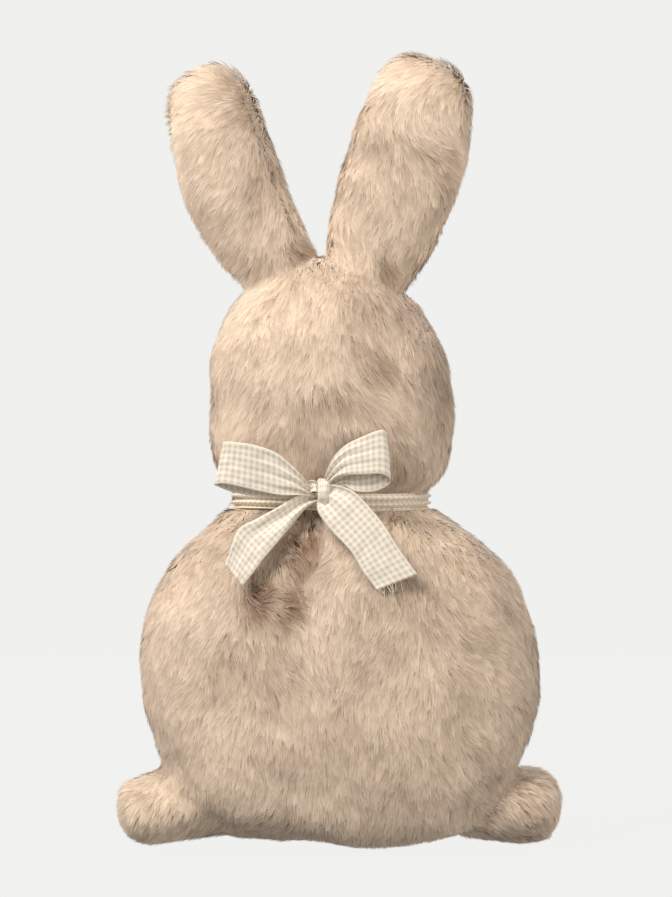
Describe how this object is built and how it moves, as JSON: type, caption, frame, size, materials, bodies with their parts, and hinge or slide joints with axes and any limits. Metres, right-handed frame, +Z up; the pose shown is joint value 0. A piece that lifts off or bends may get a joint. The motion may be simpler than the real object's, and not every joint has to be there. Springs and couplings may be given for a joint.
{
  "type": "stuffed toy rabbit",
  "caption": "Upright stuffed rabbit with no face, long pile fur fabric over fibre filling, long ears, small feet and a checked ribbon tied in a bow at the neck.",
  "frame": {"origin": "middle of the underside, where the rabbit stands, at the bottom centre of its bounding box", "axes": "+Z up towards the ears, -Y out of the front with the bow, +X to the right of someone looking at the front"},
  "size_m": [0.269, 0.12, 0.4826],
  "materials": {
    "fur_fabric": "long soft pile, brushed, matt with a slight sheen",
    "fibre_filling": "loose crimped fibre, matt",
    "gingham_ribbon": "plain woven small check, crisp, matt"
  },
  "bodies": {
    "torso": {"torso_front_panel": "fur_fabric", "torso_back_panel": "fur_fabric", "torso_filling": "fibre_filling", "neck_ribbon": "gingham_ribbon", "bow_knot": "gingham_ribbon"},
    "head": {"head_front_panel": "fur_fabric", "head_back_panel": "fur_fabric", "head_filling": "fibre_filling"},
    "ear_left": {"ear_left_front_panel": "fur_fabric", "ear_left_back_panel": "fur_fabric", "ear_left_filling": "fibre_filling"},
    "ear_right": {"ear_right_front_panel": "fur_fabric", "ear_right_back_panel": "fur_fabric", "ear_right_filling": "fibre_filling"},
    "foot_left": {"foot_left_front_panel": "fur_fabric", "foot_left_back_panel": "fur_fabric", "foot_left_filling": "fibre_filling"},
    "foot_right": {"foot_right_front_panel": "fur_fabric", "foot_right_back_panel": "fur_fabric", "foot_right_filling": "fibre_filling"},
    "bow_loop_left": {"bow_loop_left": "gingham_ribbon"},
    "bow_loop_right": {"bow_loop_right": "gingham_ribbon"},
    "bow_tail_left": {"bow_tail_left": "gingham_ribbon"},
    "bow_tail_right": {"bow_tail_right": "gingham_ribbon"}
  },
  "joints": [
    {"name": "neck_nod", "type": "hinge", "parent": "torso", "child": "head", "pos_m": [-0.005, 0, 0.216], "axis": [1, 0, 0], "range_deg": [-15, 8], "stiffness_Nm_per_rad": 2},
    {"name": "ear_left_fold", "type": "hinge", "parent": "head", "child": "ear_left", "pos_m": [-0.0387, 0, 0.3511], "axis": [0.9397, 0, 0.342], "range_deg": [-30, 40], "stiffness_Nm_per_rad": 0.25},
    {"name": "ear_right_fold", "type": "hinge", "parent": "head", "child": "ear_right", "pos_m": [0.01824, 0, 0.35191], "axis": [0.9563, 0, -0.2924], "range_deg": [-30, 40], "stiffness_Nm_per_rad": 0.25},
    {"name": "foot_left_swing", "type": "hinge", "parent": "torso", "child": "foot_left", "pos_m": [-0.084, 0, 0.026], "axis": [0, 0, 1], "range_deg": [-15, 15], "stiffness_Nm_per_rad": 0.3},
    {"name": "foot_right_swing", "type": "hinge", "parent": "torso", "child": "foot_right", "pos_m": [0.084, 0, 0.026], "axis": [0, 0, 1], "range_deg": [-15, 15], "stiffness_Nm_per_rad": 0.3},
    {"name": "bow_loop_left_swing", "type": "hinge", "parent": "torso", "child": "bow_loop_left", "pos_m": [-0.019, -0.04135, 0.215], "axis": [0, 0, 1], "range_deg": [0, 35], "stiffness_Nm_per_rad": 0.004},
    {"name": "bow_loop_right_swing", "type": "hinge", "parent": "torso", "child": "bow_loop_right", "pos_m": [-0.002, -0.04135, 0.215], "axis": [0, 0, -1], "range_deg": [0, 35], "stiffness_Nm_per_rad": 0.004},
    {"name": "bow_tail_left_lift", "type": "hinge", "parent": "torso", "child": "bow_tail_left", "pos_m": [-0.0105, -0.04135, 0.2065], "axis": [-1, 0, 0], "range_deg": [0, 60]},
    {"name": "bow_tail_right_lift", "type": "hinge", "parent": "torso", "child": "bow_tail_right", "pos_m": [-0.0105, -0.04135, 0.2065], "axis": [-1, 0, 0], "range_deg": [0, 60]}
  ]
}
